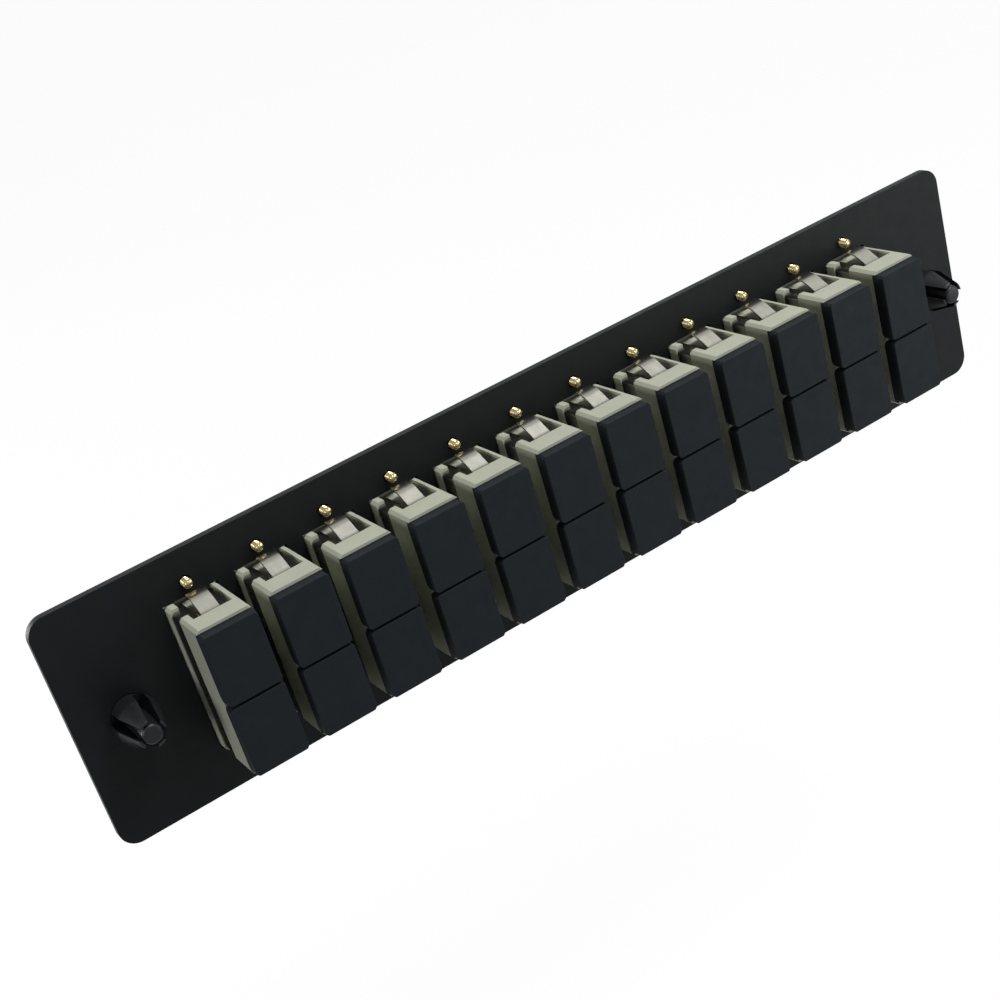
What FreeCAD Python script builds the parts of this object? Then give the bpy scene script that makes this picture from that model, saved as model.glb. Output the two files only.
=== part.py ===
"""Fibre adapter panel: a slim plate that carries a row of duplex adapters between two push latches.

Millimetres. X runs along the plate and Z is up. The cable side faces -Y and the patching side +Y.
The origin is the middle of the plate's cable-side face.
"""

import FreeCAD
import Part
import math
import os

# Plate
PLATE_LENGTH = 190.5
PLATE_HEIGHT = 42.7
PLATE_THICKNESS = 1.5
PLATE_CORNER = 3.3
CUTOUT_CLEARANCE = 0.15

# Row of adapters, which fills what the latches leave of the plate's length
ADAPTER_PITCH = 12.7
LATCH_ZONE = 18.0
ADAPTER_COUNT = int((PLATE_LENGTH - 2 * LATCH_ZONE) // ADAPTER_PITCH)

# Adapter housing, each half measured outward from the plane where the halves meet
HOUSING_WIDTH = 9.4
HOUSING_HEIGHT = 26.8
HOUSING_CORNER = 0.5
WALL_DEPTH = 13.6
BAR_DEPTH = 14.4
BAR_HEIGHT = 0.55
SIDE_WALL = 0.95
END_WALL = 2.5
MIDDLE_WALL = 3.6
KEYWAY_WIDTH = 2.3
KEYWAY_DEPTH = 6.0
RIDGE_HALF_WIDTH = 0.9
RIDGE_HEIGHT = 0.75

# Mounting flange of the front half
SCREW_INSET = 2.4
FLANGE_MARGIN = 2.2
FLANGE_THICKNESS = 2.0
FLANGE_HOLE_CLEARANCE = 0.2

# Seat of the spring clip in the rear half, its depths measured from the plate
LEFT_RAIL = 1.6
RIGHT_RAIL = 1.05
RECESS_DROP = 0.9
RECESS_REACH = 8.5
GROOVE_START = 2.0
GROOVE_END = 6.0
GROOVE_DROP = 0.45

# Spring clip, bent from one strip
CLIP_THICKNESS = 0.35
CLIP_CLEARANCE = 0.05
CLIP_BEND = 0.6
TONGUE_LEFT = 1.4
TONGUE_RIGHT = 1.8
TONGUE_SETBACK = 0.8
TONGUE_ROOT_RISE = 0.45
TONGUE_KNEE = 3.8
TONGUE_KNEE_RISE = 1.85
TONGUE_TIP = 2.3
TONGUE_TIP_RISE = 2.05

# Flange screws, M2 brass pan head
SCREW_RADIUS = 0.95
SCREW_HEAD_RADIUS = 1.9
SCREW_HEAD_HEIGHT = 1.3
SCREW_POINT = 1.6
TAPPED_HOLE_CLEARANCE = 0.03

# Alignment sleeves and the inserts that hold them
SLEEVE_OUTER_RADIUS = 1.6
SLEEVE_INNER_RADIUS = 1.25
SLEEVE_STANDOUT = 0.1
HOLDER_THICKNESS = 1.4
HOLDER_WIDTH = 4.6
HOOK_THICKNESS = 0.8
HOOK_REACH = 5.6

# Dust caps
CAP_OVERHANG = 0.05
CAP_INSET = 0.65
CAP_DEPTH = 2.8
CAP_CORNER = 0.4
CAP_GAP = 0.5
CAP_CHAMFER_WIDTH = 1.0
CAP_CHAMFER_DEPTH = 0.85
CAP_PLUG_CLEARANCE = 0.1
CAP_HOOK_GAP = 1.0
CAP_WALL = 1.0

# Push latches
LATCH_INSET = 9.55
LATCH_HOLE_RADIUS = 3.25
LATCH_HOLE_CLEARANCE = 0.1
GROMMET_FLANGE_RADIUS = 5.5
GROMMET_FLANGE_THICKNESS = 1.2
BARB_HEIGHT = 0.85
BARB_START = 1.6
BARB_END = 4.6
NOSE_RADIUS = 3.0
NOSE_START = 7.6
NOSE_TIP_RADIUS = 2.4
NOSE_TIP = 9.6
SLOT_WIDTH = 2.1
SLOT_START = 0.6
SLOT_TURN = 65.0
STEM_RADIUS = 1.75
STEM_CLEARANCE = 0.15
STEM_REACH = 9.9
STEM_POINT = 0.5
KNOB_RADIUS = 4.5
KNOB_NECK_RADIUS = 3.4
KNOB_NECK_LENGTH = 2.0
KNOB_HEIGHT = 7.0
KNOB_CHAMFER = 0.6

# Small rounds that repeat many times are cut with few flats, to keep the whole panel light
SCREW_SIDES = 6
HOLE_SIDES = 6
SLEEVE_SIDES = 6
LATCH_SIDES = 12

# Places that follow from the sizes
CABLE_FACE = 0.0
PATCH_FACE = CABLE_FACE + PLATE_THICKNESS
SPLIT = PATCH_FACE
PORT_WIDTH = HOUSING_WIDTH - 2 * SIDE_WALL
PORT_HEIGHT = (HOUSING_HEIGHT - MIDDLE_WALL) / 2 - END_WALL
PORT_SPACING = PORT_HEIGHT + MIDDLE_WALL
PORT_CENTRES = (PORT_SPACING / 2, -PORT_SPACING / 2)
SCREW_HEIGHT = HOUSING_HEIGHT / 2 + SCREW_INSET
FLANGE_HEIGHT = 2 * (SCREW_HEIGHT + FLANGE_MARGIN)
FLANGE_HOLE_RADIUS = SCREW_RADIUS + FLANGE_HOLE_CLEARANCE
CLIP_SEAT = HOUSING_HEIGHT / 2 - RECESS_DROP
RECESS_LEFT = HOUSING_WIDTH / 2 - LEFT_RAIL
RECESS_RIGHT = HOUSING_WIDTH / 2 - RIGHT_RAIL
TONGUE_ROOT = RECESS_REACH - TONGUE_SETBACK
SLEEVE_LENGTH = 2 * (HOOK_REACH + SLEEVE_STANDOUT)
CAP_WIDTH = HOUSING_WIDTH + 2 * CAP_OVERHANG
CAP_HEIGHT = (HOUSING_HEIGHT - CAP_GAP) / 2 - CAP_INSET
CAP_PLUG_LENGTH = WALL_DEPTH - HOOK_REACH - CAP_HOOK_GAP
LATCH_SPACING = PLATE_LENGTH - 2 * LATCH_INSET
LATCH_NECK_RADIUS = LATCH_HOLE_RADIUS - LATCH_HOLE_CLEARANCE
BARB_RADIUS = LATCH_NECK_RADIUS + BARB_HEIGHT


def adapter_x(index):
    """Place of an adapter along the plate, counted from the left."""
    return (index - (ADAPTER_COUNT - 1) / 2) * ADAPTER_PITCH


def box(x_from, x_to, y_from, y_to, z_from, z_to):
    """Block between limits."""
    corner = FreeCAD.Vector(x_from, y_from, z_from)
    return Part.makeBox(x_to - x_from, y_to - y_from, z_to - z_from, corner)


def prism(points, start, along):
    """Straight extrusion of a closed outline that is moved to its start."""
    corners = [FreeCAD.Vector(*point) + start for point in points]
    return Part.Face(Part.makePolygon(corners + corners[:1])).extrude(along)


def prism_x(outline, x_from, x_to):
    """Outline in Y and Z, extruded along X."""
    points = [(0, y, z) for y, z in outline]
    return prism(points, FreeCAD.Vector(x_from, 0, 0), FreeCAD.Vector(x_to - x_from, 0, 0))


def prism_y(outline, y_from, y_to):
    """Outline in X and Z, extruded along Y."""
    points = [(x, 0, z) for x, z in outline]
    return prism(points, FreeCAD.Vector(0, y_from, 0), FreeCAD.Vector(0, y_to - y_from, 0))


def soft_rectangle(width, height, corner):
    """Outline of a rectangle about its own middle, each corner cut off by a flat."""
    x = width / 2
    z = height / 2
    quarter = [(x, z - corner), (x - corner, z)]
    half = quarter + [(-px, pz) for px, pz in reversed(quarter)]
    return half + [(-px, -pz) for px, pz in half]


def many_sided(radius, sides):
    """Outline of a round whose corners lie on its radius."""
    angles = [2 * math.pi * (step + 0.5) / sides for step in range(sides)]
    return [(radius * math.cos(angle), radius * math.sin(angle)) for angle in angles]


def round_hole(radius, sides, y_from, y_to):
    """Many-sided tool for a hole that leaves the whole radius clear."""
    return prism_y(many_sided(radius / math.cos(math.pi / sides), sides), y_from, y_to)


def turned(profile):
    """Round solid about Y, from the radius and the place of each step of its side, end to end."""
    rings = []
    for radius, y in profile:
        rings.append([FreeCAD.Vector(x, y, z) for x, z in many_sided(radius, LATCH_SIDES)])
    loops = [rings[0], rings[-1]]
    for first, second in zip(rings, rings[1:]):
        for side in range(LATCH_SIDES):
            after = (side + 1) % LATCH_SIDES
            loops.append([first[side], first[after], second[after], second[side]])
    faces = [Part.Face(Part.makePolygon(loop + loop[:1])) for loop in loops]
    return Part.Solid(Part.Shell(faces)).removeSplitter()


def moved(shape, x=0, y=0, z=0):
    """Copy of a shape at another place."""
    copy = shape.copy()
    copy.translate(FreeCAD.Vector(x, y, z))
    return copy


def flipped(shape, x=0, y=0, z=0):
    """Mirror image in the plane through the origin with the given normal."""
    return shape.mirror(FreeCAD.Vector(0, 0, 0), FreeCAD.Vector(x, y, z))


def panel_plate():
    """Sheet with a cutout for each adapter, a tapped hole above and below it, and two latch holes."""
    half_length = PLATE_LENGTH / 2
    half_height = PLATE_HEIGHT / 2
    blank = box(-half_length, half_length, CABLE_FACE, PATCH_FACE, -half_height, half_height)
    corners = [edge for edge in blank.Edges if abs(edge.tangentAt(edge.FirstParameter).y) > 0.5]
    plate = blank.makeFillet(PLATE_CORNER, corners)
    half_width = HOUSING_WIDTH / 2 + CUTOUT_CLEARANCE
    half_opening = HOUSING_HEIGHT / 2 + CUTOUT_CLEARANCE
    cutout = box(-half_width, half_width, CABLE_FACE, PATCH_FACE, -half_opening, half_opening)
    tapped = round_hole(SCREW_RADIUS + TAPPED_HOLE_CLEARANCE, HOLE_SIDES, CABLE_FACE, PATCH_FACE)
    tools = []
    for index in range(ADAPTER_COUNT):
        x = adapter_x(index)
        tools.append(moved(cutout, x))
        tools.append(moved(tapped, x, 0, SCREW_HEIGHT))
        tools.append(moved(tapped, x, 0, -SCREW_HEIGHT))
    across = FreeCAD.Vector(0, 1, 0)
    for side in (-1, 1):
        middle = FreeCAD.Vector(side * LATCH_SPACING / 2, CABLE_FACE, 0)
        tools.append(Part.makeCylinder(LATCH_HOLE_RADIUS, PLATE_THICKNESS, middle, across))
    return plate.cut(tools)


def half_shell():
    """One moulded half with its ports, standing along +Y from the plane where the halves meet."""
    outline = soft_rectangle(HOUSING_WIDTH, HOUSING_HEIGHT, HOUSING_CORNER)
    shell = prism_y(outline, 0, BAR_DEPTH)
    half_width = HOUSING_WIDTH / 2
    half_opening = HOUSING_HEIGHT / 2 - BAR_HEIGHT
    ridge = RIDGE_HALF_WIDTH
    front = [(BAR_DEPTH, half_opening), (WALL_DEPTH, half_opening), (WALL_DEPTH, ridge)]
    front += [(WALL_DEPTH + RIDGE_HEIGHT, 0), (WALL_DEPTH, -ridge)]
    front += [(WALL_DEPTH, -half_opening), (BAR_DEPTH, -half_opening)]
    tools = [prism_x(front, -half_width, half_width)]
    for z in PORT_CENTRES:
        low = z - PORT_HEIGHT / 2
        high = z + PORT_HEIGHT / 2
        tools.append(box(-PORT_WIDTH / 2, PORT_WIDTH / 2, 0, BAR_DEPTH, low, high))
        key = KEYWAY_WIDTH / 2
        tools.append(box(PORT_WIDTH / 2, half_width, WALL_DEPTH - KEYWAY_DEPTH, BAR_DEPTH, z - key, z + key))
    return shell.cut(tools)


def clip_seat_cuts():
    """Recess above and below the rear half, and the groove round its left side that joins them."""
    half_width = HOUSING_WIDTH / 2
    half_height = HOUSING_HEIGHT / 2
    recess = box(-RECESS_LEFT, RECESS_RIGHT, -RECESS_REACH, SPLIT, CLIP_SEAT, half_height)
    corner = box(-half_width, -RECESS_LEFT, -GROOVE_END, -GROOVE_START, CLIP_SEAT, half_height)
    groove_floor = GROOVE_DROP - half_width
    groove = box(-half_width, groove_floor, -GROOVE_END, -GROOVE_START, -half_height, half_height)
    upper = recess.fuse(corner)
    return [upper, flipped(upper, z=1), groove]


def rear_housing():
    """Cable-side half: it passes through the plate and carries the spring clip."""
    shell = moved(flipped(half_shell(), y=1), y=SPLIT)
    return shell.cut(clip_seat_cuts()).removeSplitter()


def front_housing():
    """Patching-side half with the flange that the screws draw against the plate."""
    half_width = HOUSING_WIDTH / 2
    half_height = FLANGE_HEIGHT / 2
    top = SPLIT + FLANGE_THICKNESS
    flange = box(-half_width, half_width, SPLIT, top, -half_height, half_height)
    hole = round_hole(FLANGE_HOLE_RADIUS, HOLE_SIDES, SPLIT, top)
    tools = [moved(hole, z=SCREW_HEIGHT), moved(hole, z=-SCREW_HEIGHT)]
    for z in PORT_CENTRES:
        low = z - PORT_HEIGHT / 2
        high = z + PORT_HEIGHT / 2
        tools.append(box(-PORT_WIDTH / 2, PORT_WIDTH / 2, SPLIT, top, low, high))
    return moved(half_shell(), y=SPLIT).fuse(flange.cut(tools)).removeSplitter()


def clip_band():
    """Part of the spring clip that lies in the groove and turns over both corners."""
    inner_x = GROOVE_DROP - HOUSING_WIDTH / 2
    outer_x = inner_x - CLIP_THICKNESS
    inner_z = CLIP_SEAT
    outer_z = inner_z + CLIP_THICKNESS
    bend = CLIP_BEND
    upper = [(-RECESS_LEFT, inner_z), (-RECESS_LEFT, outer_z), (outer_x + bend, outer_z)]
    upper += [(outer_x, outer_z - bend)]
    lower = [(x, -z) for x, z in reversed(upper)]
    outline = upper + lower + [(inner_x, -inner_z), (inner_x, inner_z)]
    return prism_y(outline, CLIP_CLEARANCE - GROOVE_END, -GROOVE_START - CLIP_CLEARANCE)


def clip_arm():
    """Upper arm: a frame that lies in the recess round the tongue, which rises toward the plate."""
    floor = CLIP_SEAT
    top = floor + CLIP_THICKNESS
    right = RECESS_RIGHT - CLIP_CLEARANCE
    front = CLIP_CLEARANCE - RECESS_REACH
    rear = CABLE_FACE - CLIP_CLEARANCE
    frame = box(-RECESS_LEFT, right, front, rear, floor, top)
    window = box(-TONGUE_LEFT, TONGUE_RIGHT, -TONGUE_ROOT, rear, floor, top)
    middle = [(front, floor), (-TONGUE_ROOT, floor + TONGUE_ROOT_RISE)]
    middle += [(-TONGUE_KNEE, floor + TONGUE_KNEE_RISE), (-TONGUE_TIP, floor + TONGUE_TIP_RISE)]
    outline = middle + [(y, z + CLIP_THICKNESS) for y, z in reversed(middle)]
    tongue = prism_x(outline, -TONGUE_LEFT, TONGUE_RIGHT)
    return frame.cut(window).fuse(tongue)


def spring_clip():
    """Strip of spring steel round three sides of the rear half."""
    arm = clip_arm()
    return clip_band().fuse([arm, flipped(arm, z=1)]).removeSplitter()


def flange_screw():
    """Pan-head screw along Y, its point past the plate on the cable side."""
    seat = SPLIT + FLANGE_THICKNESS
    head = prism_y(many_sided(SCREW_HEAD_RADIUS, SCREW_SIDES), seat, seat + SCREW_HEAD_HEIGHT)
    point = CABLE_FACE - SCREW_POINT
    shank = prism_y(many_sided(SCREW_RADIUS, SCREW_SIDES), point, seat)
    return head.fuse(shank).removeSplitter()


def alignment_sleeve():
    """Thin tube between the two ports, held at its middle."""
    start = SPLIT - SLEEVE_LENGTH / 2
    end = SPLIT + SLEEVE_LENGTH / 2
    outside = prism_y(many_sided(SLEEVE_OUTER_RADIUS, SLEEVE_SIDES), start, end)
    return outside.cut(prism_y(many_sided(SLEEVE_INNER_RADIUS, SLEEVE_SIDES), start, end))


def sleeve_holder():
    """Wall across one port that holds the sleeve, with two hooks toward each side that grip a plug."""
    half_width = HOLDER_WIDTH / 2
    half_height = PORT_HEIGHT / 2
    half_wall = HOLDER_THICKNESS / 2
    inner = half_height - HOOK_THICKNESS
    quarter = [(HOOK_REACH, half_height), (HOOK_REACH, inner), (half_wall, inner)]
    right = quarter + [(y, -z) for y, z in reversed(quarter)]
    outline = right + [(-y, -z) for y, z in right]
    insert = prism_x(outline, -half_width, half_width)
    bore = prism_y(many_sided(SLEEVE_OUTER_RADIUS, SLEEVE_SIDES), -half_wall, half_wall)
    return moved(insert.cut(bore), y=SPLIT)


def dust_cap(hollow):
    """Upper cap over the port of a half that stands along +Y, its plug hollow or left solid."""
    inner = CAP_GAP / 2
    outer = inner + CAP_HEIGHT
    outline = soft_rectangle(CAP_WIDTH, CAP_HEIGHT, CAP_CORNER)
    head = moved(prism_y(outline, WALL_DEPTH, WALL_DEPTH + CAP_DEPTH), z=(inner + outer) / 2)
    relief = [(WALL_DEPTH, inner), (WALL_DEPTH + CAP_CHAMFER_DEPTH, inner)]
    relief += [(WALL_DEPTH, inner + CAP_CHAMFER_WIDTH)]
    head = head.cut(prism_x(relief, -CAP_WIDTH / 2, CAP_WIDTH / 2))
    half_width = PORT_WIDTH / 2 - CAP_PLUG_CLEARANCE
    half_height = PORT_HEIGHT / 2 - CAP_PLUG_CLEARANCE
    start = WALL_DEPTH - CAP_PLUG_LENGTH
    plug = box(-half_width, half_width, start, WALL_DEPTH, -half_height, half_height)
    if hollow:
        inner_width = half_width - CAP_WALL
        inner_height = half_height - CAP_WALL
        end = WALL_DEPTH - CAP_WALL
        plug = plug.cut(box(-inner_width, inner_width, start, end, -inner_height, inner_height))
    return head.fuse(moved(plug, z=PORT_SPACING / 2)).removeSplitter()


def latch_grommet():
    """Split bush: a flange on the patching side and four tapered legs past the plate."""
    flange_top = PATCH_FACE + GROMMET_FLANGE_THICKNESS
    profile = [(GROMMET_FLANGE_RADIUS, flange_top), (GROMMET_FLANGE_RADIUS, PATCH_FACE)]
    profile += [(LATCH_NECK_RADIUS, PATCH_FACE), (LATCH_NECK_RADIUS, -SLOT_START)]
    profile += [(BARB_RADIUS, -BARB_START), (BARB_RADIUS, -BARB_END), (NOSE_RADIUS, -NOSE_START)]
    profile += [(NOSE_TIP_RADIUS, -NOSE_TIP)]
    bore = round_hole(STEM_RADIUS + STEM_CLEARANCE, LATCH_SIDES, -NOSE_TIP, flange_top)
    half_slot = SLOT_WIDTH / 2
    slot = box(-BARB_RADIUS, BARB_RADIUS, -NOSE_TIP, -SLOT_START, -half_slot, half_slot)
    middle = FreeCAD.Vector(0, 0, 0)
    axis = FreeCAD.Vector(0, 1, 0)
    slots = [slot.rotated(middle, axis, -SLOT_TURN), slot.rotated(middle, axis, 90 - SLOT_TURN)]
    return turned(profile).cut([bore] + slots)


def latch_plunger():
    """Push button whose stem spreads the legs when it is pressed home."""
    seat = PATCH_FACE + GROMMET_FLANGE_THICKNESS
    neck_end = seat + KNOB_NECK_LENGTH
    top = seat + KNOB_HEIGHT
    shoulder = KNOB_RADIUS - KNOB_CHAMFER
    profile = [(shoulder, top), (KNOB_RADIUS, top - KNOB_CHAMFER), (KNOB_RADIUS, neck_end)]
    profile += [(KNOB_NECK_RADIUS, neck_end), (KNOB_NECK_RADIUS, seat), (STEM_RADIUS, seat)]
    profile += [(STEM_RADIUS, STEM_POINT - STEM_REACH), (STEM_RADIUS - STEM_POINT, -STEM_REACH)]
    return turned(profile)


def both_ways(shape):
    """A shape above the middle and its mirror image below."""
    return [shape, flipped(shape, z=1)]


def along_row(shapes):
    """Copies of some shapes at every adapter, as one group of separate solids."""
    return Part.makeCompound([moved(shape, adapter_x(i)) for i in range(ADAPTER_COUNT) for shape in shapes])


def save(shape, name):
    """Write one sub-part."""
    shape.exportStep("parts/" + name + ".step")


def save_adapters():
    """Housings and rear dust caps, one file each."""
    rear = rear_housing()
    front = front_housing()
    upper_cap = moved(flipped(dust_cap(True), y=1), y=SPLIT)
    lower_cap = flipped(upper_cap, z=1)
    for index in range(ADAPTER_COUNT):
        x = adapter_x(index)
        number = f"{index + 1:02d}"
        save(moved(rear, x), "rear_housing_" + number)
        save(moved(front, x), "front_housing_" + number)
        save(moved(upper_cap, x), "upper_cap_" + number)
        save(moved(lower_cap, x), "lower_cap_" + number)


def save_groups():
    """Small like pieces, each kind in one file."""
    save(along_row([spring_clip()]), "spring_clips")
    screw = flange_screw()
    save(along_row([moved(screw, z=SCREW_HEIGHT), moved(screw, z=-SCREW_HEIGHT)]), "flange_screws")
    sleeve = alignment_sleeve()
    save(along_row([moved(sleeve, z=z) for z in PORT_CENTRES]), "alignment_sleeves")
    holder = sleeve_holder()
    save(along_row([moved(holder, z=z) for z in PORT_CENTRES]), "sleeve_holders")
    front_cap = moved(dust_cap(False), y=SPLIT)
    save(along_row(both_ways(front_cap)), "front_dust_caps")


def save_latches():
    """Grommet and plunger at each end."""
    for side, name in ((-1, "left"), (1, "right")):
        x = side * LATCH_SPACING / 2
        save(moved(latch_grommet(), x), name + "_latch_grommet")
        save(moved(latch_plunger(), x), name + "_latch_plunger")


os.makedirs("parts", exist_ok=True)
save(panel_plate(), "panel_plate")
save_adapters()
save_groups()
save_latches()
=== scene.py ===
"""Looks of the fibre adapter panel: finishes, rounded edges, threads, bent clips, camera and soft light."""

import math

import bmesh
import bpy
from mathutils import Euler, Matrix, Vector


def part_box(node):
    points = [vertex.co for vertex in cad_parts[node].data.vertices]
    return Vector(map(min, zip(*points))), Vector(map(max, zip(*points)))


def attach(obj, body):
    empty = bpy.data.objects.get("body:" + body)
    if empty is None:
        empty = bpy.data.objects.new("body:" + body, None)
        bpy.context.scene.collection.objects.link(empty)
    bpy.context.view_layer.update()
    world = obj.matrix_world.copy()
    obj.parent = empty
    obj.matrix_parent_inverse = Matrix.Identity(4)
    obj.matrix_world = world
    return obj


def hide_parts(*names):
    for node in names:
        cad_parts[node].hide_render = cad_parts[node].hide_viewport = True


MM = 0.001
TURN = 2 * math.pi

# Camera, fitted to the photograph
CAMERA_PLACE = Vector((-129.3, -241.7, 124.4)) * MM
CAMERA_TURN = Euler((math.radians(62.335), math.radians(15.187), math.radians(-33.427)), "XYZ")
CAMERA_SENSOR = 36.0
CAMERA_LENS = 61.588
CAMERA_SHIFT_X = -0.02
CAMERA_SHIFT_Y = 0.06
CAMERA_NEAR = 10.0 * MM

# Studio
WHITE = (1.0, 1.0, 1.0, 1.0)
SKY_STRENGTH = 0.035
FLOOR_DROP = 0.12
FLOOR_SIZE = 40.0
FLOOR_WHITE = 0.96
FLOOR_TONE = 0.9
FLOOR_BOUNCE = 0.15
FLOOR_ROUGHNESS = 0.9

# Lamps: name, place and side in metres, power in watts, and the point that the lamp faces
MIDDLE = (0, 0, 0)
RIGHT_OF_MIDDLE = (0.06, 0, 0)
LAMPS = (
    ("overhead_lamp", (0.3, -0.3, 0.8), 0.4, 9.0, MIDDLE),
    ("right_lamp", (0.25, -0.22, 0.02), 0.2, 0.42, RIGHT_OF_MIDDLE),
    ("left_lamp", (-0.6, -0.12, 0.2), 0.2, 1.1, MIDDLE),
    ("back_lamp", (-0.5, 0.65, 0.12), 0.4, 6.0, MIDDLE),
)

# Finishes: detail of the noise, and the part of its range that is used
MOTTLE_DETAIL = 3.0
MOTTLE_RANGE = (0.35, 0.65)
ROUGHNESS_DETAIL = 2.0
ROUGHNESS_RANGE = (0.3, 0.7)
GRAIN_DETAIL = 4.0
EVEN = (1, 1, 1)
DRAWN_OUT = (1, 0.1, 1)
FINE_LINES = (1, 0.06, 1)

# Edge rounding
EDGES = {"cap": 0.12 * MM, "housing": 0.3 * MM, "plate": 0.2 * MM}
EDGE_STEPS = 3
EDGE_ANGLE = math.radians(30)
WELD_GAP = 0.002 * MM
SCREW_SMOOTH = math.radians(50)
FORM_SMOOTH = math.radians(35)

# Flange screws, M2
SCREW_RADIUS = 0.86 * MM
SCREW_HEAD_HEIGHT = 1.3 * MM
SCREW_HEAD_RADIUS = 1.9 * MM
SCREW_HEIGHT = 15.8 * MM
THREAD_PITCH = 0.4 * MM
THREAD_DEPTH = 0.14 * MM
THREAD_ROWS = 12
THREAD_END = 0.4 * MM
POINT_ROUND = 0.5 * MM
POINT_FALL = 0.75
ROUND_STEPS = 40
CROSS_WIDTH = 0.5 * MM
CROSS_LENGTH = 2.0 * MM
CROSS_DEPTH = 0.7 * MM
HEAD_ROUND = 0.45 * MM
HEAD_CROWN = HEAD_ROUND / 4
HEAD_STEPS = 4
CUT_MARGIN = 1.0 * MM

# Spring clips, bent from one strip; lengths along the housing are measured from the plate
CLIP_THICKNESS = 0.35 * MM
CLIP_BEND = 0.75 * MM
CLIP_STEPS = 8
ARM_LEFT = -3.1 * MM
ARM_RIGHT = 3.6 * MM
ARM_FRONT = 8.45 * MM
ARM_REAR = 0.05 * MM
TONGUE_LEFT = -1.4 * MM
TONGUE_RIGHT = 1.8 * MM
WINDOW_FRONT = 7.7 * MM
WINDOW_LEFT = -1.9 * MM
BAND_FRONT = 5.95 * MM
BAND_REAR = 2.05 * MM
GROOVE_DROP = 0.45 * MM
SEAT_DROP = 0.9 * MM

# Each bend of a clip's tongue: distance from the plate and rise above the arm, in millimetres
TONGUE_PATH = ((8.1, 0.0), (7.15, 0.02), (4.4, 1.6), (3.3, 1.9), (2.2, 1.92))
TONGUE_BEND = 0.8 * MM

# Push latches
PLATE_THICKNESS = 1.5 * MM
FLANGE_RADIUS = 5.5 * MM
FLANGE_THICKNESS = 1.2 * MM
FLANGE_TOP = PLATE_THICKNESS + FLANGE_THICKNESS
NECK_RADIUS = 3.15 * MM
BARB_RADIUS = 4.0 * MM
BARB_START = 1.6 * MM
BARB_END = 4.6 * MM
NOSE_RADIUS = 3.0 * MM
NOSE_START = 7.6 * MM
NOSE_TIP_RADIUS = 2.4 * MM
NOSE_TIP = 9.6 * MM
SLOT_WIDTH = 2.1 * MM
SLOT_START = 0.6 * MM
SLOT_TURN = math.radians(65)
BORE_RADIUS = 1.9 * MM
STEM_RADIUS = 1.75 * MM
STEM_REACH = 9.9 * MM
KNOB_RADIUS = 4.5 * MM
KNOB_NECK_RADIUS = 3.4 * MM
KNOB_NECK_LENGTH = 2.0 * MM
KNOB_HEIGHT = 7.0 * MM
GROMMET_ROUND = 0.35 * MM
PLUNGER_ROUND = 0.7 * MM
MOULD_STEPS = 4
LATCH_STEPS = 64


def new_material(name, color, roughness, metallic=0.0, specular=0.5):
    """Material whose even values stand on the shader's own sockets."""
    material = bpy.data.materials.new(name)
    material.use_nodes = True
    shader = material.node_tree.nodes["Principled BSDF"]
    shader.inputs["Base Color"].default_value = (*color, 1.0)
    shader.inputs["Roughness"].default_value = roughness
    shader.inputs["Metallic"].default_value = metallic
    shader.inputs["Specular IOR Level"].default_value = specular
    return material


def add_noise(material, scale, detail, stretch):
    """Noise over the object's own coordinates, scale in grains per millimetre."""
    nodes = material.node_tree.nodes
    links = material.node_tree.links
    place = nodes.new("ShaderNodeTexCoord")
    mapping = nodes.new("ShaderNodeMapping")
    mapping.inputs["Scale"].default_value = [scale * factor / MM for factor in stretch]
    noise = nodes.new("ShaderNodeTexNoise")
    noise.inputs["Scale"].default_value = 1.0
    noise.inputs["Detail"].default_value = detail
    links.new(place.outputs["Object"], mapping.inputs["Vector"])
    links.new(mapping.outputs["Vector"], noise.inputs["Vector"])
    return noise.outputs["Fac"]


def feed(material, output, socket):
    """Lead an output into a socket of the material's shader."""
    shader = material.node_tree.nodes["Principled BSDF"]
    material.node_tree.links.new(output, shader.inputs[socket])


def mottle(material, scale, low, high):
    """Colour that drifts between two close tones."""
    ramp = material.node_tree.nodes.new("ShaderNodeValToRGB")
    for element, position, color in zip(ramp.color_ramp.elements, MOTTLE_RANGE, (low, high)):
        element.position = position
        element.color = (*color, 1.0)
    noise = add_noise(material, scale, MOTTLE_DETAIL, EVEN)
    material.node_tree.links.new(noise, ramp.inputs["Fac"])
    feed(material, ramp.outputs["Color"], "Base Color")


def vary_roughness(material, scale, low, high, stretch=EVEN):
    """Roughness that drifts between two values."""
    spread = material.node_tree.nodes.new("ShaderNodeMapRange")
    spread.inputs["From Min"].default_value = ROUGHNESS_RANGE[0]
    spread.inputs["From Max"].default_value = ROUGHNESS_RANGE[1]
    spread.inputs["To Min"].default_value = low
    spread.inputs["To Max"].default_value = high
    noise = add_noise(material, scale, ROUGHNESS_DETAIL, stretch)
    material.node_tree.links.new(noise, spread.inputs["Value"])
    feed(material, spread.outputs["Result"], "Roughness")


def grain(material, scale, strength, depth, stretch=EVEN):
    """Fine relief, depth in millimetres."""
    bump = material.node_tree.nodes.new("ShaderNodeBump")
    bump.inputs["Strength"].default_value = strength
    bump.inputs["Distance"].default_value = depth * MM
    noise = add_noise(material, scale, GRAIN_DETAIL, stretch)
    material.node_tree.links.new(noise, bump.inputs["Height"])
    feed(material, bump.outputs["Normal"], "Normal")


def powder_coat():
    """Near-black sheet with the orange-peel skin of a fine powder coat."""
    material = new_material("panel_black", (0.0078, 0.0092, 0.0098), roughness=0.5, specular=0.1)
    mottle(material, scale=0.25, low=(0.0071, 0.0085, 0.0091), high=(0.0085, 0.0099, 0.0105))
    vary_roughness(material, scale=0.4, low=0.44, high=0.54)
    grain(material, scale=3.0, strength=0.3, depth=0.02)
    return material


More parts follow.
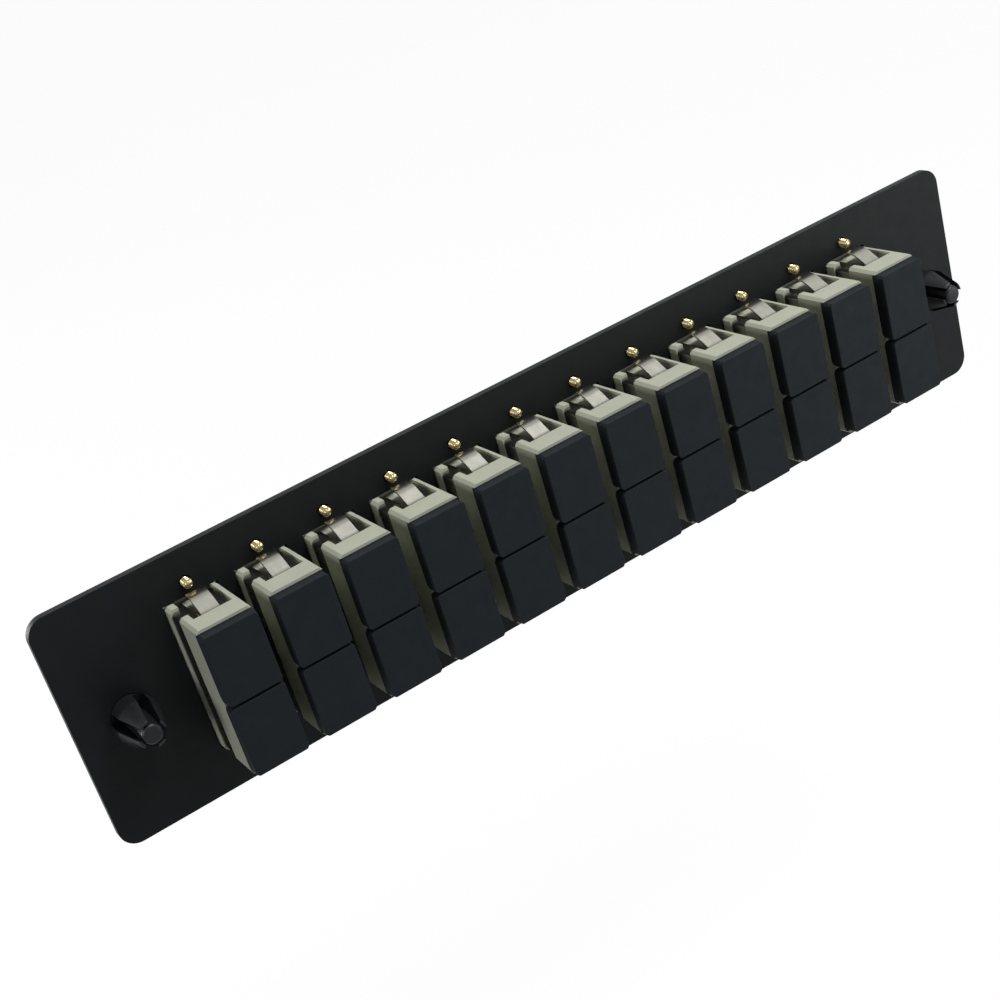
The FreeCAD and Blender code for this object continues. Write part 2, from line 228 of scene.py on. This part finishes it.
def housing_plastic():
    """Grey-beige moulded plastic."""
    material = new_material("housing_beige", (0.405, 0.42, 0.335), roughness=0.5, specular=0.22)
    mottle(material, scale=0.3, low=(0.395, 0.41, 0.327), high=(0.417, 0.432, 0.345))
    vary_roughness(material, scale=0.8, low=0.42, high=0.56)
    grain(material, scale=6.0, strength=0.2, depth=0.015)
    return material


def cap_plastic():
    """Soft dark grey plastic with a faint bloom."""
    material = new_material("cap_dark", (0.0122, 0.0155, 0.0180), roughness=0.6, specular=0.09)
    mottle(material, scale=0.35, low=(0.0115, 0.0147, 0.0171), high=(0.0129, 0.0163, 0.0189))
    vary_roughness(material, scale=0.5, low=0.54, high=0.66)
    grain(material, scale=5.0, strength=0.25, depth=0.015)
    return material


def clip_steel():
    """Rolled stainless strip with faint lines along its length."""
    material = new_material("clip_steel", (0.305, 0.302, 0.264), roughness=0.3, metallic=1.0)
    mottle(material, scale=0.4, low=(0.294, 0.291, 0.253), high=(0.316, 0.313, 0.275))
    vary_roughness(material, scale=1.2, low=0.23, high=0.27, stretch=DRAWN_OUT)
    grain(material, scale=5.0, strength=0.03, depth=0.002, stretch=FINE_LINES)
    return material


def screw_brass():
    """Bright plated brass."""
    material = new_material("screw_brass", (0.37, 0.31, 0.152), roughness=0.12, metallic=1.0)
    mottle(material, scale=1.5, low=(0.32, 0.265, 0.124), high=(0.42, 0.355, 0.18))
    vary_roughness(material, scale=3.0, low=0.1, high=0.2)
    return material


def sleeve_bronze():
    """Phosphor bronze tube."""
    material = new_material("sleeve_bronze", (0.72, 0.47, 0.27), roughness=0.25, metallic=1.0)
    vary_roughness(material, scale=2.0, low=0.2, high=0.32, stretch=DRAWN_OUT)
    return material


def holder_plastic():
    """Pale moulded insert."""
    material = new_material("holder_plastic", (0.55, 0.53, 0.45), roughness=0.5)
    mottle(material, scale=0.5, low=(0.53, 0.51, 0.43), high=(0.57, 0.55, 0.47))
    grain(material, scale=5.0, strength=0.2, depth=0.02)
    return material


def latch_nylon():
    """Black moulded nylon with a soft sheen."""
    material = new_material("latch_nylon", (0.008, 0.0092, 0.0108), roughness=0.36, specular=0.22)
    vary_roughness(material, scale=0.8, low=0.3, high=0.42)
    grain(material, scale=2.5, strength=0.25, depth=0.02)
    return material


def dress(node, material):
    """Give a node its finish."""
    node.data.materials.clear()
    node.data.materials.append(material)


def soften(node, width):
    """Round the edges of a node a little."""
    weld = node.modifiers.new("weld", "WELD")
    weld.merge_threshold = WELD_GAP
    bevel = node.modifiers.new("round", "BEVEL")
    bevel.width = width
    bevel.segments = EDGE_STEPS
    bevel.limit_method = "ANGLE"
    bevel.angle_limit = EDGE_ANGLE
    bevel.harden_normals = False


def add_mesh(name, vertices, faces, material):
    """Object from vertices and faces."""
    mesh = bpy.data.meshes.new(name)
    mesh.from_pydata(vertices, [], faces)
    mesh.validate()
    if material:
        mesh.materials.append(material)
    piece = bpy.data.objects.new(name, mesh)
    bpy.context.scene.collection.objects.link(piece)
    return piece


def box_piece(name, low, high):
    """Plain box between two corners, used only to cut with."""
    corners = [(x, y, z) for x in (low[0], high[0]) for y in (low[1], high[1]) for z in (low[2], high[2])]
    faces = [(0, 1, 3, 2), (4, 6, 7, 5), (0, 4, 5, 1), (2, 3, 7, 6), (0, 2, 6, 4), (1, 5, 7, 3)]
    return add_mesh(name, corners, faces, None)


def cut_with(piece, cutter):
    """Take one object's volume out of another and drop the cutter."""
    boolean = piece.modifiers.new("cut", "BOOLEAN")
    boolean.operation = "DIFFERENCE"
    boolean.solver = "EXACT"
    boolean.object = cutter
    bpy.context.view_layer.update()
    graph = bpy.context.evaluated_depsgraph_get()
    mesh = bpy.data.meshes.new_from_object(piece.evaluated_get(graph))
    piece.modifiers.clear()
    piece.data = mesh
    bpy.data.objects.remove(cutter)


def tidy_normals(piece):
    """Weld the seams and turn all faces outward."""
    shape = bmesh.new()
    shape.from_mesh(piece.data)
    bmesh.ops.remove_doubles(shape, verts=shape.verts, dist=WELD_GAP)
    bmesh.ops.recalc_face_normals(shape, faces=shape.faces)
    shape.to_mesh(piece.data)
    shape.free()


def smooth_under(piece, angle):
    """Smooth shading, with edges over the angle kept sharp."""
    piece.data.polygons.foreach_set("use_smooth", [True] * len(piece.data.polygons))
    piece.data.set_sharp_from_angle(angle=angle)


def revolve(profile, steps):
    """Vertices and faces of a closed outline of radius and place along Y, turned about Y."""
    vertices = []
    for step in range(steps):
        angle = TURN * step / steps
        vertices += [(r * math.cos(angle), y, r * math.sin(angle)) for r, y in profile]
    count = len(profile)
    faces = []
    for step in range(steps):
        here = step * count
        there = (step + 1) % steps * count
        for i in range(count):
            j = (i + 1) % count
            faces.append((here + i, here + j, there + j, there + i))
    return vertices, faces


def extrusion(outline, along):
    """Vertices and faces of a closed outline drawn out along a vector."""
    count = len(outline)
    vertices = [tuple(point) for point in outline]
    vertices += [tuple(Vector(point) + Vector(along)) for point in outline]
    faces = [tuple(range(count)), tuple(range(2 * count - 1, count - 1, -1))]
    faces += [(i, (i + 1) % count, (i + 1) % count + count, i + count) for i in range(count)]
    return vertices, faces


def repeated(shapes, offsets):
    """Vertices and faces of some shapes at every offset."""
    vertices, faces = [], []
    for offset in offsets:
        for points, sides in shapes:
            base = len(vertices)
            vertices += [tuple(Vector(point) + Vector(offset)) for point in points]
            faces += [tuple(base + i for i in side) for side in sides]
    return vertices, faces


def corner_arc(before, corner, after, radius, steps):
    """Short arc in place of a corner; it takes at most half of the sides beside it."""
    point = Vector(corner)
    back = Vector(before) - point
    ahead = Vector(after) - point
    reach = min(radius, back.length / 2, ahead.length / 2)
    first = point + back.normalized() * reach
    last = point + ahead.normalized() * reach
    shares = [step / steps for step in range(steps + 1)]
    return [first * (1 - t) ** 2 + point * (2 * t * (1 - t)) + last * t**2 for t in shares]


def rounded(corners, radius):
    """Closed outline with every corner turned into an arc."""
    outline = []
    for i, corner in enumerate(corners):
        after = corners[(i + 1) % len(corners)]
        outline += corner_arc(corners[i - 1], corner, after, radius, MOULD_STEPS)
    return outline


def bent(path, radius):
    """Open line whose inner corners are turned into arcs."""
    line = [Vector(path[0])]
    for before, corner, after in zip(path, path[1:], path[2:]):
        line += corner_arc(before, corner, after, radius, CLIP_STEPS)
    return line + [Vector(path[-1])]


def thickened(line, thickness):
    """Closed outline on both sides of an open line."""
    left, right = [], []
    for i, point in enumerate(line):
        along = (line[min(i + 1, len(line) - 1)] - line[max(i - 1, 0)]).normalized()
        aside = Vector((-along.y, along.x)) * thickness / 2
        left.append(point + aside)
        right.append(point - aside)
    return left + right[::-1]


def adapter_places(nodes):
    """Middle of each adapter along X."""
    names = sorted(name for name in nodes if name.startswith("rear_housing"))
    boxes = [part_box(name) for name in names]
    return [(low.x + high.x) / 2 for low, high in boxes]


def shank_radius(depth, phase):
    """Radius of a screw's shank, depth behind its point and with a phase of one over each groove."""
    share = min(1.0, depth / POINT_ROUND)
    groove = (1 + math.cos(TURN * (phase % 1.0))) / 2
    return SCREW_RADIUS * math.sqrt(1 - (1 - share) ** 2 * POINT_FALL) - THREAD_DEPTH * groove


def threaded_shank(start, end):
    """Vertices and faces of a screw's shank along Y, with a round point and a thread up to the plate."""
    length = THREAD_END - start
    rows = round(length / THREAD_PITCH * THREAD_ROWS)
    vertices = []
    for y in [start + length * row / rows for row in range(rows)] + [THREAD_END, end]:
        for step in range(ROUND_STEPS):
            share = step / ROUND_STEPS
            threaded = shank_radius(y - start, (y - start) / THREAD_PITCH - share)
            radius = threaded if y < THREAD_END else SCREW_RADIUS
            vertices.append((radius * math.cos(TURN * share), y, radius * math.sin(TURN * share)))
    faces = []
    for ring in range(len(vertices) // ROUND_STEPS - 1):
        low = ring * ROUND_STEPS
        high = low + ROUND_STEPS
        for step in range(ROUND_STEPS):
            after = (step + 1) % ROUND_STEPS
            faces.append((low + step, low + after, high + after, high + step))
    faces.append(tuple(range(ROUND_STEPS)))
    faces.append(tuple(reversed(range(len(vertices) - ROUND_STEPS, len(vertices)))))
    return vertices, faces


def screw_head(seat, top):
    """Pan head along Y with a cross recess."""
    radius = SCREW_HEAD_RADIUS
    outline = [(0.0, seat), (radius, seat), (radius, top - HEAD_ROUND)]
    for step in range(1, HEAD_STEPS + 1):
        turn = TURN / 4 * step / HEAD_STEPS
        outline.append((radius - HEAD_ROUND * (1 - math.cos(turn)), top - HEAD_ROUND * (1 - math.sin(turn))))
    outline.append((0.0, top + HEAD_CROWN))
    head = add_mesh("head", *revolve(outline, ROUND_STEPS), None)
    tidy_normals(head)
    for half_x, half_z in ((CROSS_LENGTH / 2, CROSS_WIDTH / 2), (CROSS_WIDTH / 2, CROSS_LENGTH / 2)):
        low = (-half_x, top - CROSS_DEPTH, -half_z)
        high = (half_x, top + CUT_MARGIN, half_z)
        cut_with(head, box_piece("cutter", low, high))
    shape = [tuple(v.co) for v in head.data.vertices], [tuple(p.vertices) for p in head.data.polygons]
    bpy.data.objects.remove(head)
    return shape


def add_screws(places, material):
    """Two screws at each adapter, as one piece."""
    low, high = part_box("flange_screws")
    seat = high.y - SCREW_HEAD_HEIGHT
    shapes = [threaded_shank(low.y, seat), screw_head(seat, high.y - HEAD_CROWN)]
    offsets = [(x, 0, z) for x in places for z in (SCREW_HEIGHT, -SCREW_HEIGHT)]
    screws = add_mesh("threaded_screws", *repeated(shapes, offsets), material)
    tidy_normals(screws)
    smooth_under(screws, SCREW_SMOOTH)
    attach(screws, "panel")
    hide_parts("flange_screws")


def clip_arm(seat):
    """Frame and tongue of the upper arm; its underside lies on the seat."""
    plan = [(ARM_LEFT, -ARM_FRONT), (ARM_RIGHT, -ARM_FRONT), (ARM_RIGHT, -ARM_REAR)]
    plan += [(TONGUE_RIGHT, -ARM_REAR), (TONGUE_RIGHT, -WINDOW_FRONT), (WINDOW_LEFT, -WINDOW_FRONT)]
    plan += [(WINDOW_LEFT, -ARM_REAR), (ARM_LEFT, -ARM_REAR)]
    surround = extrusion([(x, y, seat) for x, y in plan], (0, 0, CLIP_THICKNESS))
    middle = seat + CLIP_THICKNESS / 2
    path = [(-distance * MM, middle + rise * MM) for distance, rise in TONGUE_PATH]
    outline = thickened(bent(path, TONGUE_BEND), CLIP_THICKNESS)
    tongue = extrusion([(TONGUE_LEFT, y, z) for y, z in outline], (TONGUE_RIGHT - TONGUE_LEFT, 0, 0))
    return [surround, tongue]


def clip_band(side, seat):
    """Band round the side of the housing, its ends under the arms."""
    x = side + GROOVE_DROP - CLIP_THICKNESS / 2
    z = seat + CLIP_THICKNESS / 2
    path = [(ARM_LEFT, z), (x, z), (x, -z), (ARM_LEFT, -z)]
    outline = thickened(bent(path, CLIP_BEND), CLIP_THICKNESS)
    return extrusion([(px, -BAND_FRONT, pz) for px, pz in outline], (0, BAND_FRONT - BAND_REAR, 0))


def add_clips(places, material):
    """Spring clip of every adapter, as one piece with smooth bends."""
    low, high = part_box("rear_housing_01")
    seat = high.z - SEAT_DROP
    arm = clip_arm(seat)
    below = [([(x, y, -z) for x, y, z in points], faces) for points, faces in arm]
    shapes = arm + below + [clip_band((low.x - high.x) / 2, seat)]
    offsets = [(x, 0, 0) for x in places]
    clips = add_mesh("bent_clips", *repeated(shapes, offsets), material)
    tidy_normals(clips)
    smooth_under(clips, FORM_SMOOTH)
    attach(clips, "panel")
    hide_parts("spring_clips")


def add_grommet(side, x, material):
    """Split bush with four rounded legs."""
    corners = [(BORE_RADIUS, FLANGE_TOP), (FLANGE_RADIUS, FLANGE_TOP), (FLANGE_RADIUS, PLATE_THICKNESS)]
    corners += [(NECK_RADIUS, PLATE_THICKNESS), (NECK_RADIUS, -SLOT_START), (BARB_RADIUS, -BARB_START)]
    corners += [(BARB_RADIUS, -BARB_END), (NOSE_RADIUS, -NOSE_START), (NOSE_TIP_RADIUS, -NOSE_TIP)]
    corners += [(BORE_RADIUS, -NOSE_TIP)]
    grommet = add_mesh(side + "_split_bush", *revolve(rounded(corners, GROMMET_ROUND), LATCH_STEPS), material)
    tidy_normals(grommet)
    half_slot = SLOT_WIDTH / 2
    wide = BARB_RADIUS + CUT_MARGIN
    low = (-wide, -NOSE_TIP - CUT_MARGIN, -half_slot)
    high = (wide, -SLOT_START, half_slot)
    for turn in (-SLOT_TURN, TURN / 4 - SLOT_TURN):
        cutter = box_piece("cutter", low, high)
        cutter.rotation_euler.y = turn
        cut_with(grommet, cutter)
    grommet.location.x = x
    smooth_under(grommet, FORM_SMOOTH)
    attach(grommet, "panel")
    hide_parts(side + "_latch_grommet")


def add_plunger(side, x, material):
    """Push button with a waisted knob and a round-ended stem."""
    neck_end = FLANGE_TOP + KNOB_NECK_LENGTH
    top = FLANGE_TOP + KNOB_HEIGHT
    corners = [(0.0, top), (KNOB_RADIUS, top), (KNOB_RADIUS, neck_end), (KNOB_NECK_RADIUS, neck_end)]
    corners += [(KNOB_NECK_RADIUS, FLANGE_TOP), (STEM_RADIUS, FLANGE_TOP), (STEM_RADIUS, -STEM_REACH)]
    corners += [(0.0, -STEM_REACH)]
    off_axis = slice(MOULD_STEPS + 1, -MOULD_STEPS - 1)
    outline = [corners[0]] + rounded(corners, PLUNGER_ROUND)[off_axis] + [corners[-1]]
    name = side + "_latch_plunger"
    plunger = add_mesh(side + "_push_button", *revolve(outline, LATCH_STEPS), material)
    tidy_normals(plunger)
    plunger.location.x = x
    smooth_under(plunger, FORM_SMOOTH)
    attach(plunger, name)
    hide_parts(name)


def add_camera():
    """Camera at the photograph's viewpoint."""
    data = bpy.data.cameras.new("camera")
    data.sensor_width = CAMERA_SENSOR
    data.lens = CAMERA_LENS
    data.shift_x = CAMERA_SHIFT_X
    data.shift_y = CAMERA_SHIFT_Y
    data.clip_start = CAMERA_NEAR
    camera = bpy.data.objects.new("camera", data)
    camera.location = CAMERA_PLACE
    camera.rotation_euler = CAMERA_TURN
    bpy.context.scene.collection.objects.link(camera)
    bpy.context.scene.camera = camera


def add_lamp(name, place, size, power, target):
    """Soft square lamp that faces a point."""
    data = bpy.data.lights.new(name, "AREA")
    data.shape = "SQUARE"
    data.size = size
    data.energy = power
    lamp = bpy.data.objects.new(name, data)
    lamp.location = place
    lamp.rotation_euler = (Vector(target) - Vector(place)).to_track_quat("-Z", "Y").to_euler()
    bpy.context.scene.collection.objects.link(lamp)


def combined(tree, operation, first, second):
    """Result of a sum, product or the like of two values."""
    node = tree.nodes.new("ShaderNodeMath")
    node.operation = operation
    tree.links.new(first, node.inputs[0])
    tree.links.new(second, node.inputs[1])
    return node.outputs["Value"]


def mixed(tree, factor, first, second):
    """Shader that goes from the first to the second as the factor grows."""
    mix = tree.nodes.new("ShaderNodeMixShader")
    tree.links.new(factor, mix.inputs["Fac"])
    tree.links.new(first, mix.inputs[1])
    tree.links.new(second, mix.inputs[2])
    return mix.outputs["Shader"]


def seen_directly(tree):
    """Factor that is one for camera, mirror and glass rays."""
    rays = tree.nodes.new("ShaderNodeLightPath").outputs
    either = combined(tree, "MAXIMUM", rays["Is Camera Ray"], rays["Is Glossy Ray"])
    return combined(tree, "MAXIMUM", either, rays["Is Transmission Ray"])


def add_world():
    """Soft grey sky that shows as white."""
    world = bpy.data.worlds.new("studio")
    world.use_nodes = True
    tree = world.node_tree
    sky = tree.nodes["Background"]
    sky.inputs["Color"].default_value = WHITE
    sky.inputs["Strength"].default_value = SKY_STRENGTH
    white = tree.nodes.new("ShaderNodeBackground")
    white.inputs["Color"].default_value = WHITE
    white.inputs["Strength"].default_value = 1.0
    studio = mixed(tree, seen_directly(tree), sky.outputs["Background"], white.outputs["Background"])
    tree.links.new(studio, tree.nodes["World Output"].inputs["Surface"])
    bpy.context.scene.world = world


def floor_paint():
    """Pale matt paint that shows nearly white, throws little light back and is clear from below."""
    material = new_material("floor", (FLOOR_TONE, FLOOR_TONE, FLOOR_TONE), FLOOR_ROUGHNESS, specular=0.0)
    tree = material.node_tree
    paint = tree.nodes["Principled BSDF"]
    seen = seen_directly(tree)
    tone = tree.nodes.new("ShaderNodeMapRange")
    tone.inputs["To Min"].default_value = FLOOR_BOUNCE
    tone.inputs["To Max"].default_value = FLOOR_TONE
    tree.links.new(seen, tone.inputs["Value"])
    tree.links.new(tone.outputs["Result"], paint.inputs["Base Color"])
    glow = tree.nodes.new("ShaderNodeEmission")
    glow.inputs["Strength"].default_value = 1.0
    fade = tree.nodes.new("ShaderNodeMapRange")
    fade.inputs["To Max"].default_value = FLOOR_WHITE
    tree.links.new(seen, fade.inputs["Value"])
    above = mixed(tree, fade.outputs["Result"], paint.outputs["BSDF"], glow.outputs["Emission"])
    clear = tree.nodes.new("ShaderNodeBsdfTransparent")
    side = tree.nodes.new("ShaderNodeNewGeometry")
    both = mixed(tree, side.outputs["Backfacing"], above, clear.outputs["BSDF"])
    tree.links.new(both, tree.nodes["Material Output"].inputs["Surface"])
    return material


def add_floor():
    """Pale floor below the held panel."""
    half = FLOOR_SIZE / 2
    low = -FLOOR_DROP
    corners = [(-half, -half, low), (half, -half, low), (half, half, low), (-half, half, low)]
    floor = add_mesh("floor", corners, [(0, 1, 2, 3)], floor_paint())


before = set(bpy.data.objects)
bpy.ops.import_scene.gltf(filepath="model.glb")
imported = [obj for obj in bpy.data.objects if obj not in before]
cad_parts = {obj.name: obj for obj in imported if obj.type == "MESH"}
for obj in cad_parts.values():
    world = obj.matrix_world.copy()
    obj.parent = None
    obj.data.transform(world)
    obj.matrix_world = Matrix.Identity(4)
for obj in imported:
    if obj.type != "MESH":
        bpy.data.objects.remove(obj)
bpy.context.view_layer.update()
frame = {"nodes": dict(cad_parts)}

finishes = {
    "housing": housing_plastic(),
    "cap": cap_plastic(),
    "plate": powder_coat(),
    "clips": clip_steel(),
    "screws": screw_brass(),
    "sleeves": sleeve_bronze(),
    "holders": holder_plastic(),
    "latch": latch_nylon(),
}
for node_name, node in frame["nodes"].items():
    for kind, finish in finishes.items():
        if kind in node_name:
            dress(node, finish)
    for kind, width in EDGES.items():
        if kind in node_name:
            soften(node, width)

adapters = adapter_places(frame["nodes"])
add_screws(adapters, finishes["screws"])
add_clips(adapters, finishes["clips"])
for latch_side in ("left", "right"):
    latch_low, latch_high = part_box(latch_side + "_latch_grommet")
    latch_x = (latch_low.x + latch_high.x) / 2
    add_grommet(latch_side, latch_x, finishes["latch"])
    add_plunger(latch_side, latch_x, finishes["latch"])

add_camera()
add_world()
add_floor()
for lamp_name, lamp_place, lamp_size, lamp_power, lamp_target in LAMPS:
    add_lamp(lamp_name, lamp_place, lamp_size, lamp_power, lamp_target)

bpy.context.scene.view_settings.view_transform = "Standard"
